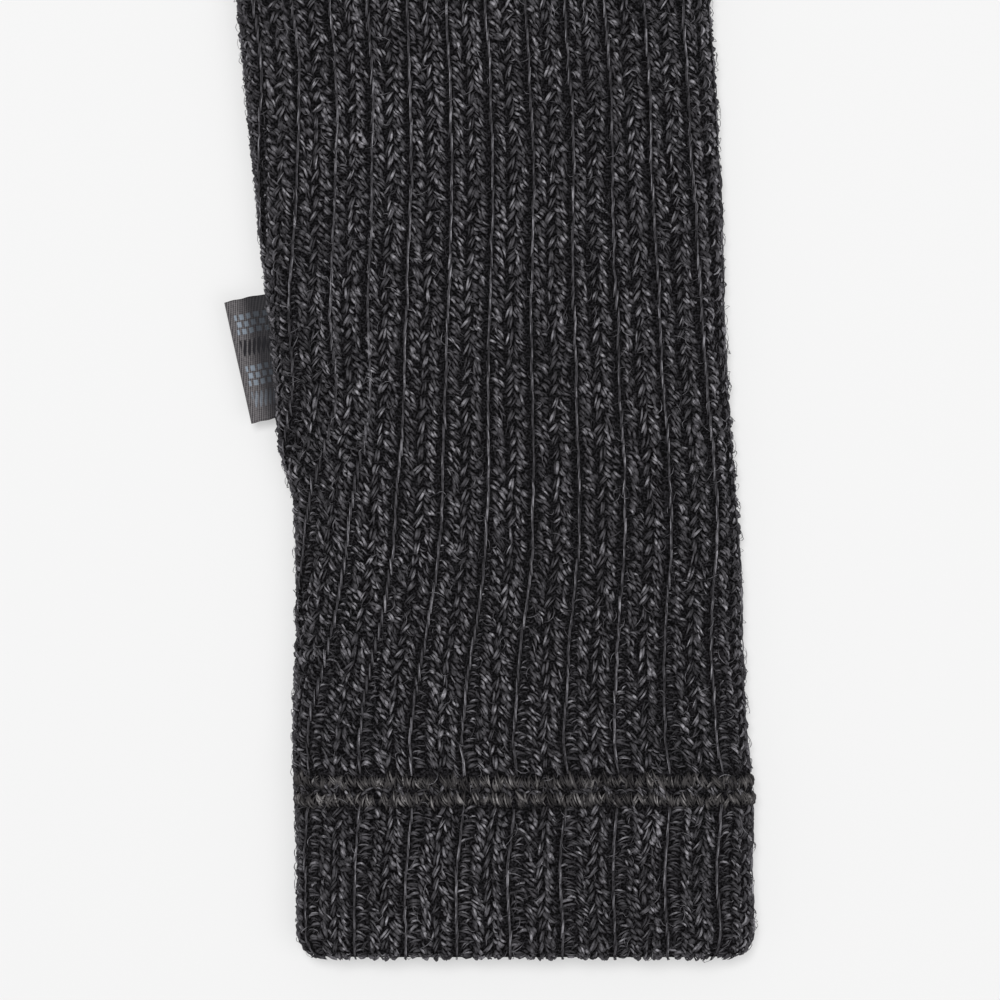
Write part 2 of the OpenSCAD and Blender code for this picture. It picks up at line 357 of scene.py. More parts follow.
@dataclass(frozen=True)
class RibbonFinish:
    """Woven satin ribbon with a small pattern of staggered bricks and ticks, and painted shade near the seam.
    """

    name: str = "label_weave"
    ground: tuple[float, float, float, float] = (0.155, 0.145, 0.15, 1)
    shade: tuple[float, float, float, float] = (0.03, 0.028, 0.03, 1)
    light: tuple[float, float, float, float] = (0.26, 0.31, 0.37, 1)
    black: tuple[float, float, float, float] = (0.006, 0.006, 0.008, 1)
    length: float = 17.4
    seam: float = 4.2

    def material(self) -> bpy.types.Material:
        """Build the ribbon material.

        Returns:
            A material that reads the Ribbon UV map, in millimetres.
        """
        sh = Shader(self.name)
        uv = sh.node("ShaderNodeUVMap", {"uv_map": "Ribbon"})
        parts = sh.node("ShaderNodeSeparateXYZ", Vector=uv.outputs[0])
        out, up = sh.value(parts.outputs[0]), sh.value(parts.outputs[1])
        twill = sh.math("SINE", out * (TAU / 0.4) + up * 3.6) * 0.5 + 0.5
        picks = sh.math("SINE", up * (TAU / 0.34)) * 0.5 + 0.5
        noise = sh.noise(uv.outputs[0], 1.6, 4.0)
        weave = twill * 0.5 + picks * 0.22 + noise * 0.6
        ground = sh.blend(weave.between(0.3, 1.0), self.shade, self.ground)
        down = 8.3 - up
        local, second = sh.math("WRAP", down, 9.2, 0.0), down.between(9.1, 9.3)
        inside = sh.math("ABSOLUTE", out - self.length / 2).between(0.65, 0.95)
        shown = inside * down.between(-0.1, 0.05) * down.between(16.9, 16.7)
        narrow = sh.math("WRAP", out, 0.85, 0.0) * (1 / 0.85)
        course = sh.math("FLOOR", local * (1 / 1.3))
        brick, bed = sh.math("WRAP", out + course * 0.62, 1.24, 0.0), sh.math("WRAP", local, 1.3, 0.0)
        pale = brick.between(0.0, 0.12) * brick.between(0.92, 0.76)
        pale = pale * bed.between(0.02, 0.14) * bed.between(1.12, 0.98)
        pale = pale * local.between(3.95, 3.85) * shown
        dip = (local - 4.8) * (1 / 2.6)
        ticks = sh.math("ABSOLUTE", dip - narrow).between(0.42, 0.2)
        ticks = ticks * dip.between(-0.1, 0.0) * dip.between(1.1, 1.0) * shown
        thread = weave.between(0.1, 0.7) * 0.5 + 0.4
        light = sh.blend(pale * thread * 0.9 + ticks * second * thread * 0.5, ground, self.light)
        marked = sh.blend(ticks * (1.0 - second) * 0.95, light, self.black)
        # Painted shade: the ribbon fades toward black near the seam, where the knit overhangs it.
        seam_shade_fade = sh.math("PINGPONG", out, self.length / 2).between(self.seam + 0.1, self.seam + 3.7)
        colour = sh.blend(seam_shade_fade * 0.86 + 0.14, self.black, marked)
        mark = sh.math("MAXIMUM", pale, ticks)
        relief = sh.relief(0.6, 0.00012, weave + mark * 0.8)
        return sh.finish(
            Base_Color=colour,
            Roughness=0.62,
            Specular_IOR_Level=0.12,
            Normal=relief,
            Sheen_Weight=0.05,
        )


# ---------------------------------------------------------------- the glove's surface


@dataclass
class Outline:
    """The glove's edges and thickness up its length, read from the frame. Millimetres.

    sway is how far the limp edges stray from the cut, by height.
    """

    corner: float = 5.0
    sway_up: tuple[float, ...] = (0, 5, 17, 30, 39, 55, 71, 81, 90, 99, 108, 134, 152, 168, 178)
    sway_left: tuple[float, ...] = (
        0, 0.2, 0.45, 0, -0.5, -0.35, -0.3, 0.2, -1.2, -0.5, 0, -0.2, -0.35, -0.5, 0,
    )
    sway_right: tuple[float, ...] = (0.6, 0.7, 0.2, 0.8, 0, 0, 0.7, 0.7, 0.7, 0.6, 0.5, 0.5, 0.2, -0.35, 0)
    up: np.ndarray = field(init=False)
    lefts: np.ndarray = field(init=False)
    rights: np.ndarray = field(init=False)
    thicks: np.ndarray = field(init=False)

    def __post_init__(self) -> None:
        """Read the panel's rings: each shares one height up the glove."""
        mesh = frame["nodes"]["knit_panel"].data
        points = np.zeros(len(mesh.vertices) * 3, np.float32)
        mesh.vertices.foreach_get("co", points)
        points = points.reshape(-1, 3) / MM
        levels = np.round(points[:, 1], 2)
        low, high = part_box("wrist_hem")[0].y / MM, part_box("finger_hem")[1].y / MM
        self.wrist, self.fingers = low, high
        self.length = high - low
        rows = [
            (y, points[levels == y])
            for y in np.unique(levels)
            if low + self.corner - 0.02 <= y <= high - self.corner + 0.02
        ]
        self.up = np.array([y - low for y, _ in rows])
        self.lefts = np.array([p[:, 0].min() for _, p in rows])
        self.rights = np.array([p[:, 0].max() for _, p in rows])
        self.thicks = np.array([p[:, 2].max() for _, p in rows])
        self.hem_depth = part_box("wrist_hem")[1].y / MM - low
        self.finger_hem_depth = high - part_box("finger_hem")[0].y / MM
        self.slit_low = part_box("side_seam_lower")[1].y / MM - low
        self.slit_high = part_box("side_seam_upper")[0].y / MM - low

    def span(self, node: str) -> tuple[float, float]:
        """Return where a CAD node starts and stops, up from the wrist fold."""
        low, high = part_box(node)
        return low.y / MM - self.wrist, high.y / MM - self.wrist

    def middle(self, node: str) -> float:
        """Return the height of a CAD node's middle, up from the wrist fold."""
        low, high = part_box(node)
        return (low.y + high.y) / 2 / MM - self.wrist

    def left(self, y: np.ndarray) -> np.ndarray:
        """Return the left edge's place across, y up from the wrist fold."""
        return np.interp(y, self.up, self.lefts) + np.interp(y, self.sway_up, self.sway_left)

    def right(self, y: np.ndarray) -> np.ndarray:
        """Return the right edge's place across."""
        return np.interp(y, self.up, self.rights) + np.interp(y, self.sway_up, self.sway_right)

    def thick(self, y: np.ndarray) -> np.ndarray:
        """Return the whole thickness as the glove lies."""
        return np.interp(y, self.up, self.thicks)

    def inset(self, y: np.ndarray) -> np.ndarray:
        """Return how far the rounded corners draw in the edges near the folds."""
        e = self.corner - np.clip(np.minimum(y, self.length - y), 0, self.corner)
        return self.corner - np.sqrt(self.corner**2 - e**2)


@dataclass
class KnitSurface:
    """The fabric's face, from the turned layer inside the wrist hem round to the one at the fingers.

    A place on it is s, the way round from the right edge, over the top to the label's edge, and q, the way
    along the face from the wrist fold, with h out from the face. Millimetres.
    """

    outline: Outline
    fold: float = 1.8
    nominal: float = 0.8
    slit_ramp: float = 9.0
    squeeze: float = 13.0
    slump: float = 0.3
    slump_reach: float = 17.0

    def half_round(self, y: np.ndarray) -> np.ndarray:
        """Return half the way round the glove at a height."""
        half = self.outline.thick(y) / 2
        return np.pi * (half - self.nominal) + self.outline.right(y) - self.outline.left(y) - 2 * half

    def path(self, q: np.ndarray, h: np.ndarray) -> tuple[np.ndarray, np.ndarray]:
        """Follow the face round the folds.

        Args:
            q: Way along the face from where the outside meets the wrist fold.
            h: Height out from the face.

        Returns:
            Height up the glove, and depth under its outside.
        """
        length, r = self.outline.length, self.fold
        flip = q > length / 2
        t = np.where(flip, length - q, q)
        turn = np.clip((r - t) / r, 0, np.pi)
        inside = np.maximum(r - t - np.pi * r, 0)
        y = np.where(t >= r, t, r - (r + h) * np.sin(turn) + inside)
        d = np.where(t >= r, -h, r - (r + h) * np.cos(turn))
        return np.where(flip, length - y, y), d

    def slit(self, y: np.ndarray) -> np.ndarray:
        """Return how far the thumb opening gapes, from 0 to 1."""
        o = self.outline
        return ease((y - o.slit_low) / self.slit_ramp) * ease((o.slit_high - y) / self.slit_ramp)

    def sink(self, s: np.ndarray, y: np.ndarray) -> np.ndarray:
        """Return how the limp fabric undulates as it lies."""
        waves = drift(y + 0.6 * s, 5, 74) * 0.5 + drift(s - 0.35 * y, 9, 61) * 0.5
        return -0.32 * (0.5 + 0.5 * waves)

    def at(self, s: np.ndarray, y: np.ndarray, d: np.ndarray) -> np.ndarray:
        """Place points by way round, height up the glove and depth.

        Args:
            s: Way round from the right edge, positive over the top.
            y: Height up from the wrist fold.
            d: Depth under the outside.

        Returns:
            Points in the frame, in metres.
        """
        o = self.outline
        left, right, half = o.left(y), o.right(y), o.thick(y) / 2
        arc = np.pi / 2 * (half - self.nominal)
        flat = right - left - 2 * half
        whole = 2 * (2 * arc + flat)
        s = np.mod(s + whole / 2, whole) - whole / 2
        side, way = np.where(s < 0, -1.0, 1.0), np.abs(s)
        r = half - d
        a = np.clip(way / arc, 0, 1) * np.pi / 2
        b = np.clip((way - arc - flat) / arc, 0, 1) * np.pi / 2
        m = self.slit(y)
        x = np.where(way <= arc, right - half + r * np.cos(a), right - half - (way - arc))
        shut, gape = r * np.sin(b), half * (b / (np.pi / 2))
        x = np.where(way > arc + flat, left + half - (shut + (gape - shut) * m), x)
        up = np.where(way <= arc, r * np.sin(a), np.where(way > arc + flat, r * (np.cos(b) * (1 - m) + m), r))
        inset = o.inset(y)
        from_right = ease((x - right + self.squeeze) / self.squeeze)
        from_left = ease((left + self.squeeze - x) / self.squeeze)
        x = x - inset * from_right + inset * from_left
        near = np.minimum(x - left, right - x)
        slump = np.where(side > 0, 1 - self.slump * (1 - ease(near / self.slump_reach)), 1)
        z = np.maximum(half + side * up * slump, 0.02)
        return np.stack([x, y + o.wrist, z], -1) * MM

    def place(self, s: np.ndarray, q: np.ndarray, h: np.ndarray) -> np.ndarray:
        """Place points by way round, way along the face and height out from it."""
        y, d = self.path(q, h)
        outer = (q > self.fold) & (q < self.outline.length - self.fold)
        d = d - np.where(outer & (s > 0), self.sink(s, y) * ease((self.half_round(y) - np.abs(s)) / 12), 0)
        return self.at(s, y, d)


@dataclass
class RolledSurface:
    """A round edge that follows a line of centres up the glove. Millimetres."""

    outline: Outline
    centre: Callable[[np.ndarray], tuple[np.ndarray, np.ndarray]]
    wide: float
    high: float
    start: float = 0.0

    def place(self, s: np.ndarray, q: np.ndarray, h: np.ndarray) -> np.ndarray:
        """Place points by way round the roll, height up the glove and height out."""
        x, z = self.centre(q)
        a = s / ((self.wide + self.high) / 2) + self.start
        across, up = x + (self.wide + h) * np.cos(a), np.maximum(z + (self.high + h) * np.sin(a), 0.02)
        return np.stack(np.broadcast_arrays(across, q + self.outline.wrist, up), -1) * MM


# ---------------------------------------------------------------- yarn


@dataclass(frozen=True)
class Run:
    """A short run of yarn between two places where it dips under its neighbours. Millimetres.

    across and along say how far it goes, to the right and up; arch is how far its middle stands out, bow
    how far it bends sideways, and wide and deep are its half sizes. twist is how far its plies drift across
    it, loose how uneven they are, and stack how far they lie one above the other instead of side by side.
    split is how many short plies follow each other along it.
    """

    across: float
    along: float
    wide: float
    deep: float
    arch: float
    bow: float = 0.0
    plies: int = 1
    twist: float = 0.25
    taper: float = 0.3
    loose: float = 1.0
    stack: float = 0.0
    split: int = 1

    def coarser(self) -> "Run":
        """Return the same run with fewer plies."""
        return replace(self, plies=(self.plies // self.split + 1) // 2 * self.split)


class Detail(Enum):
    """How finely yarn is worked: the sides and rings of one ply."""

    FACE = (5, 3)
    BACK = (4, 3)
    CORD = (8, 8)
    FIBRE = (3, 4)


@dataclass
class PlyTemplate:
    """A tube made once and carried to every ply."""

    detail: Detail

    def __post_init__(self) -> None:
        """Model the tube: a disc extruded ring by ring."""
        sides, rings = self.detail.value
        clear_selection()
        bpy.ops.mesh.primitive_circle_add(vertices=sides, radius=1.0, fill_type="NGON")
        tube = bpy.context.object
        bpy.ops.object.mode_set(mode="EDIT")
        bpy.ops.mesh.select_all(action="SELECT")
        for _ in range(rings):
            bpy.ops.mesh.extrude_region_move(TRANSFORM_OT_translate={"value": (0, 0, 1.0 / rings)})
        bpy.ops.mesh.select_all(action="SELECT")
        bpy.ops.mesh.normals_make_consistent(inside=False)
        bpy.ops.object.mode_set(mode="OBJECT")
        mesh = tube.data
        points = np.array([v.co for v in mesh.vertices])
        self.t = points[:, 2]
        self.angle = np.mod(np.arctan2(points[:, 1], points[:, 0]) + 1e-4, TAU)
        faces = [list(p.vertices) for p in mesh.polygons]
        bpy.data.objects.remove(tube)
        bpy.data.meshes.remove(mesh)
        self.corners = np.array([v for f in faces for v in f])
        self.counts = np.array([len(f) for f in faces])
        ways = []
        for f in faces:
            turn, t = self.angle[f] / TAU, self.t[f]
            if np.ptp(t) < 1e-6:
                turn = 0.5 + 0.4 * np.cos(self.angle[f])
                t = t + 0.04 * (1 + np.sin(self.angle[f])) * np.sign(t - 0.5)
            elif np.ptp(turn) > 0.5:
                turn = np.where(turn < 0.5, turn + 1, turn)
            ways += list(zip(t, turn))
        self.ways = np.array(ways)


@dataclass
class Stitches:
    """Many runs of yarn on one surface, gathered and then made one mesh."""

    surface: "KnitSurface | RolledSurface"
    template: PlyTemplate
    seed: int = SEED
    runs: list = field(default_factory=list)

    def add(
        self, run: Run, s: np.ndarray, q: np.ndarray, h: np.ndarray, size: np.ndarray, fleck_and_shade: np.ndarray
    ) -> None:
        """Note a batch of like runs.

        Args:
            run: Their shape.
            s: Way round of each middle.
            q: Way along of each middle.
            h: Height of each middle.
            size: Scale of each.
            fleck_and_shade: Tone of each, from 0 to 1, painted shade included.
        """
        if len(s):
            self.runs.append((run, s, q, h, size, fleck_and_shade))

    def _shape(self, run: Run, rng: np.random.Generator, count: int) -> tuple[np.ndarray, ...]:
        """Bend the plies along a run, a little differently each time.

        Args:
            run: The run's shape.
            rng: Source of the small differences.
            count: How many to make.

        Returns:
            Places to the right, up and out, by run, ply and vertex.
        """
        t, angle = self.template.t[None, None, :], self.template.angle[None, None, :]
        jitter = rng.normal(0, run.loose, (5, count, 1, 1))
        slope = 0.12 * jitter[0]
        across = run.across * (1 + 0.08 * jitter[1]) + slope * run.along
        along = run.along * (1 + 0.05 * jitter[2]) - slope * run.across
        size = 1 + 0.08 * jitter[3]
        u = t - 0.5
        length = np.sqrt(across**2 + along**2)
        right, up = along / length, -across / length
        bow = (run.bow + 0.05 * jitter[4]) * (1 - 4 * u * u)
        taper = 1 - run.taper * np.abs(2 * u) ** 3
        many = run.plies // run.split
        uneven = run.loose if run.plies > 1 else 0.0
        number = np.arange(run.plies)[None, :, None]
        reach = (1 - 0.3 * uneven * rng.uniform(0, 1, (count, run.plies, 1)) ** 1.5) / run.split**0.8
        start = ((number % run.split) - (run.split - 1) / 2) / run.split
        way = u * reach + start + 0.12 * uneven * rng.normal(0, 1, (count, run.plies, 1))
        way = np.clip(way, -0.62, 0.62)
        a, b = across * way + right * bow, along * way + up * bow
        out = run.arch * (0.5 - np.abs(2 * way) ** 2.2) + 0.22 * (run.split - 1) * (0.5 - 4 * u * u)
        lane = (number // run.split - (many - 1) / 2) * 2 / many
        lane = lane * (1 - 1 / many * 0.4) + 0.13 * uneven * rng.normal(0, 1, (count, run.plies, 1))
        own = (0.8 / many) * (1 + 0.2 * rng.normal(0, 1, (count, run.plies, 1)))
        swap = run.twist * (1 + 0.4 * rng.normal(0, 1, (count, 1, 1))) * 2 * way
        middle = run.wide * size * (lane + swap) + 0.25 * uneven * rng.normal(0, 1, (count, run.plies, 1)) * u
        across_it = middle * (1 - run.stack) + run.wide * size * taper * own * np.cos(angle)
        round_it = run.wide * own * np.sin(angle) * taper * 1.1
        layer = 1 - 0.7 * (lane + swap * 0.5) ** 2 + 0.34 * uneven * rng.normal(0, 1, (count, run.plies, 1))
        b = b + up * across_it + run.stack * middle / np.where(np.abs(up) < 0.3, 0.3, up)
        return a + right * across_it, b, out + run.deep * 0.6 * layer * taper + round_it

    def build(self, name: str, material: bpy.types.Material) -> bpy.types.Object:
        """Make one mesh of every run noted.

        Args:
            name: The piece's name.
            material: Its finish.

        Returns:
            The finished object.
        """
        rng = np.random.default_rng(self.seed)
        points, flecks_and_shade, lengths = [], [], []
        for run, s, q, h, size, fleck_and_shade in self.runs:
            a, b, out = self._shape(run, rng, len(s))
            s, q, h, size = (v[:, None, None] for v in (s, q, h, size))
            points.append(self.surface.place(s - a * size, q + b * size, h + out * size).reshape(-1, 3))
            own = 0.5 * fleck_and_shade[:, None] + 0.9 * rng.uniform(0, 1, (len(fleck_and_shade), run.plies)) ** 2
            flecks_and_shade.append(own.ravel())
            lengths.append(np.full(own.size, math.hypot(run.across, run.along)))
        points, flecks_and_shade, lengths = np.concatenate(points), np.concatenate(flecks_and_shade), np.concatenate(lengths)
        count, own, per = len(lengths), len(self.template.t), len(self.template.corners)
        corners = (self.template.corners[None, :] + own * np.arange(count)[:, None]).ravel()
        mesh = new_mesh(name, points, corners, np.tile(self.template.counts, count))
        ways = np.tile(self.template.ways, (count, 1))
        starts = hashed(np.arange(count), np.full(count, self.seed)) * 7
        yarn = ways.copy()
        yarn[:, 0] = yarn[:, 0] * np.repeat(lengths, per) + np.repeat(starts, per)
        add_uv(mesh, "Yarn", yarn)
        add_uv(mesh, "OFBake", self._packed(ways, count))
        attribute = mesh.attributes.new("fleck_and_shade", "FLOAT", "POINT")
        # Painted shade: each ply darkens toward its ends, where it dips under its neighbours.
        shaded = flecks_and_shade[:, None] - 0.42 * np.abs(2 * self.template.t - 1)[None, :] ** 2
        attribute.data.foreach_set("value", np.clip(shaded, 0, 1).astype(np.float32).ravel())
        shade(mesh, material)
        LOG.info("%s: %d plies, %d triangles", name, count, int((self.template.counts - 2).sum()) * count)
        return link(name, mesh)

    def _packed(self, ways: np.ndarray, count: int) -> np.ndarray:
        """Lay every ply's skin in its own small cell of a square."""
        grid = math.ceil(math.sqrt(count))
        cell = np.repeat(np.arange(count), len(self.template.corners))
        inner = np.stack([0.5 + (ways[:, 0] - 0.5) * 0.8, 0.1 + ways[:, 1] * 0.64], -1)
        return (inner + np.stack([cell % grid, cell // grid], -1)) / grid


def new_mesh(name: str, points: np.ndarray, corners: np.ndarray, counts: np.ndarray) -> bpy.types.Mesh:
    """Make a mesh from arrays.

    Args:
        name: Its name.
        points: Vertices, in metres.
        corners: Vertex numbers of every face, end to end.
        counts: Number of corners of each face.

    Returns:
        The mesh.
    """
    mesh = bpy.data.meshes.new(name)
    mesh.vertices.add(len(points))
    mesh.vertices.foreach_set("co", points.astype(np.float32).ravel())
    mesh.loops.add(len(corners))
    mesh.loops.foreach_set("vertex_index", corners.astype(np.int32))
    mesh.polygons.add(len(counts))
    mesh.polygons.foreach_set("loop_start", np.concatenate([[0], np.cumsum(counts)[:-1]]).astype(np.int32))
    mesh.update(calc_edges=True)
    mesh.validate()
    return mesh


def shade(mesh: bpy.types.Mesh, material: bpy.types.Material) -> None:
    """Make a mesh smooth and give it its finish."""
    mesh.polygons.foreach_set("use_smooth", np.ones(len(mesh.polygons), bool))
    mesh.materials.append(material)


def add_uv(mesh: bpy.types.Mesh, name: str, values: np.ndarray) -> None:
    """Add a UV map with one value for each face corner."""
    layer = mesh.uv_layers.new(name=name, do_init=False)
    layer.data.foreach_set("uv", values.astype(np.float32).ravel())


def link(name: str, mesh: bpy.types.Mesh) -> bpy.types.Object:
    """Put a mesh in the scene, riding on the glove."""
    piece = bpy.data.objects.new(name, mesh)
    bpy.context.scene.collection.objects.link(piece)
    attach(piece, "glove")
    return piece


# ---------------------------------------------------------------- the rib


@dataclass
class Rib:
    """The two-by-one rib: where each rib's edge runs, and the runs of yarn in one repeat. Millimetres."""

    surface: KnitSurface
    course: float = 2.33
    hem_course: float = 2.16
    heights: tuple[float, ...] = (0, 20, 39, 64, 81, 116, 152, 200, 235, 250)
    pitches: tuple[float, ...] = (9.13, 9.13, 9.1, 8.1, 8.0, 7.4, 6.93, 6.9, 7.0, 7.1)
    offsets: tuple[float, ...] = (8.95, 8.95, 7.6, 7.8, 5.9, 6.5, 7.35, 7.3, 7.4, 7.5)
    closed: tuple[float, ...] = (0.29, 0.51, 0.81)
    opened: tuple[float, ...] = (0.205, 0.405, 0.6)
    seam_clear: float = 0.35

    edge_leg: Run = Run(0.1, 3.3, 0.24, 0.28, 0.2, plies=2, twist=0.25, taper=0.1, loose=0.35)
    inner_leg: Run = Run(1.9, -1.9, 0.84, 0.5, 0.75, bow=0.12, plies=6, stack=0.4, split=2)
    steep_leg: Run = Run(0.8, 2.3, 0.5, 0.42, 0.8, plies=2)
    outer_leg: Run = Run(2.0, -1.9, 0.84, 0.5, 0.75, bow=-0.12, plies=6, stack=0.4, split=2)
    dash: Run = Run(2.0, 0.45, 0.46, 0.42, 0.55, bow=-0.3, plies=2, loose=1.6)

    def smoothed(self, y: np.ndarray, values: Sequence[float]) -> np.ndarray:
        """Return values between the heights, eased over the joins."""
        shifts = (-10, -7, -3.5, 0, 3.5, 7, 10)
        return np.mean([np.interp(y + shift, self.heights, values) for shift in shifts], axis=0)

    def pitch(self, y: np.ndarray) -> np.ndarray:
        """Return the width of one repeat."""
        return self.smoothed(y, self.pitches)

    def line(self, k: np.ndarray, y: np.ndarray) -> np.ndarray:
        """Return where the edge of repeat k runs, as a way round the glove."""
        wander = 0.34 * drift(y + 9 * k, 17, 96) + 0.18 * drift(y * 1.4 + 57 * k, 23, 53)
        way = self.smoothed(y, self.offsets) + k * self.pitch(y) + wander
        gain = 1.5 * ease((y - 85) / 20) * ease((175 - y) / 20) + 2.7 * bump(y - 98, 12)
        return way - gain * ease((way - 56) / 22)

    def openness(self, s: np.ndarray, y: np.ndarray) -> np.ndarray:
        """Return how far the ribs are drawn apart, from 0 to 1."""
        spread = np.clip((self.pitch(y) - 7) / 2, 0, 1) ** 2
        edge = bump(self.surface.half_round(y) - np.abs(s) - 6, 7.0) * ease((170 - y) / 40)
        return np.clip(spread + 0.75 * edge, 0, 1)

    def courses(self) -> np.ndarray:
        """Return the way along the face of every course, turned layers included."""
        o, fold = self.surface.outline, self.surface.fold
        first = -(math.pi - 1) * fold - o.hem_depth + 2
        last = o.length + (math.pi - 1) * fold + o.finger_hem_depth - 2
        q, out = first, []
        while q < last:
            out.append(q)
            q += self.hem_course if q < o.hem_depth - 1 or q > o.length - o.finger_hem_depth else self.course
        return np.array(out)


@dataclass(frozen=True)
class KnitBand:
    """One band of the knit between two ways along the face, over or under."""

    name: str
    low: float
    high: float
    detail: Detail
    over: bool


class Kind(Enum):
    """The runs in one repeat of the rib; the number picks their tones."""

    EDGE = 0
    INNER = 1
    STEEP = 2
    OUTER = 3
    DASH = 7
    LOW_DASH = 8


@dataclass(frozen=True)
class Batch:
    """Runs of one kind: where their middles lie, their height and scale, and which are wanted."""

    kind: Kind
    run: Run
    s: np.ndarray
    q: np.ndarray
    height: float
    size: "float | np.ndarray"
    keep: np.ndarray


@dataclass
class GloveKnit:
    """All the knit: the shaded core and the yarn that lies on it."""

    outline: Outline
    surface: KnitSurface
    rib: Rib
    wool: bpy.types.Material
    shadow: bpy.types.Material
    rows: list[float]
    row_reach: float = 1.2
    line_reach: float = 1.9

    def groove(self, q: np.ndarray) -> np.ndarray:
        """Return how far the hem stitching pulls the knit in."""
        total = np.zeros(np.shape(q))
        for row in self.rows:
            total = total + bump(q - row, 1.6)
        return -0.34 * np.minimum(total, 1.15)

    def bare(self, q: np.ndarray, reach: float) -> np.ndarray:
        """Return where no row of hem stitching lies within a reach."""
        return np.all([np.abs(q - row) >= reach for row in self.rows], axis=0)

    def tone(self, number: np.ndarray, way: np.ndarray, seed: int) -> np.ndarray:
        """Return the yarn's tone: it changes slowly along each course, and a little from run to run."""
        slow = 0.5 + 0.5 * drift(way + number * 173.0, 77, 120)
        patch = 0.5 + 0.5 * drift(way * 0.8 + number * 9.0, 61, 47) * drift(number * 2.3 - way * 0.3, 64, 83)
        own = hashed(number, np.round(way * 3), np.full(way.shape, seed))
        cloud = drift(way * 0.7 + number * 1.9, 83, 58) * drift(number * 2.9 + way * 0.2, 88, 97)
        return np.clip(0.3 * slow + 0.3 * patch + 0.3 * own + 0.35 * cloud + 0.06, 0, 1)

    def yarn(self, band: KnitBand, template: PlyTemplate, seed: int) -> Stitches:
        """Lay the runs of one band.

        Args:
            band: Which part of the knit.
            template: The ply to carry.
            seed: Picks its small differences.

        Returns:
            The gathered runs.
        """
        rng = np.random.default_rng(seed)
        made = Stitches(self.surface, template, seed)
        rib, courses = self.rib, self.rib.courses()
        numbers = np.arange(len(courses))[(courses >= band.low) & (courses < band.high)]
        k, n = (v.ravel() for v in np.meshgrid(np.arange(-18, 18), numbers, indexing="ij"))
        q = courses[n]
        y, _ = self.surface.path(q, np.zeros(q.shape))
        edge, pitch, half = rib.line(k, y), rib.pitch(y), self.surface.half_round(y)
        slack = rib.openness(edge + pitch / 2, y)
        inner, steep, outer = (pitch * (c + (w - c) * slack) for c, w in zip(rib.closed, rib.opened))
        plain = self.bare(q, self.row_reach)
        low, high = outer + 1.05, pitch - 0.35
        room = high - low
        dash, size = edge + (low + high) / 2, np.clip(room / rib.dash.across, 0.45, 1.1)
        shown = plain & (room > 0.6)
        clear_rows = self.bare(q, self.line_reach)
        for batch in (
            Batch(Kind.EDGE, rib.edge_leg, edge, q + 0.2, -0.58, 1.0, clear_rows),
            Batch(Kind.INNER, rib.inner_leg, edge + inner, q, -1.05, 1.0, plain),
            Batch(Kind.STEEP, rib.steep_leg, edge + steep, q + 0.45 * rib.course, -0.95, 1.0, plain),
            Batch(Kind.OUTER, rib.outer_leg, edge + outer, q + 0.1, -1.08, 1.0, plain),
            Batch(Kind.DASH, rib.dash, dash, q, -1.2, size, shown),
            Batch(Kind.LOW_DASH, rib.dash, dash, q + 0.5 * rib.course, -1.45, size, shown),
        ):
            self._lay(made, batch, n, half, band, rng)
        return made

    def _lay(
        self,
        made: Stitches,
        batch: Batch,
        n: np.ndarray,
        half: np.ndarray,
        band: KnitBand,
        rng: np.random.Generator,
    ) -> None:
        """Note the runs of a batch that lie on a band's side and clear of the seam.

        Args:
            made: Gathers them.
            batch: The runs.
            n: Number of each one's course.
            half: Half the way round the glove at each.
            band: Which part of the knit.
            rng: Source of the small differences.
        """
        run = batch.run if band.over else batch.run.coarser()
        s, q = batch.s, batch.q
        gape = self.surface.slit(self.surface.path(q, np.zeros(q.shape))[0])
        clear = self.rib.seam_clear + np.where(gape > 0, 1.15, 0)
        keep = batch.keep & (np.abs(s) < half - clear) & ((s >= 0) == band.over)
        s, q, n, half = s[keep], q[keep], n[keep], half[keep]
        size = np.broadcast_to(batch.size, keep.shape)[keep] * (1 + 0.04 * rng.normal(0, 1, len(s)))
        folds = bump(q, 2.4) + bump(q - self.outline.length, 2.4)
        h = batch.height + self.groove(q) - 0.35 * folds + 0.06 * rng.normal(0, 1, len(s))
        q = q + 0.1 * rng.normal(0, 1, len(s)) + 0.3 * drift(s, 3, 60)
        is_edge, is_dash = batch.kind is Kind.EDGE, batch.kind in (Kind.DASH, Kind.LOW_DASH)
        # Painted shade: the dashes, which lie in the recess between the ribs, are made darker.
        tone = self.tone(n, s, batch.kind.value) - (0.22 if is_dash else 0.0)
        if is_edge:
            tone = tone + 0.12 + 0.3 * drift(q + 3.1 * s, 29, 37)
        # Painted shade and light: the yarn darkens within about 11 mm of the glove's edges, where it rounds
        # away from the light, and a painted lighter band lies about 27 mm in.
        tone = tone - 0.26 * bump(half - np.abs(s), 11.0) + 0.1 * bump(half - np.abs(s) - 27, 14.0)
        s = s + (0.05 if is_edge else 0.12) * rng.normal(0, 1, len(s))
        made.add(run, s, q, h, size, np.clip(tone, 0, 1))

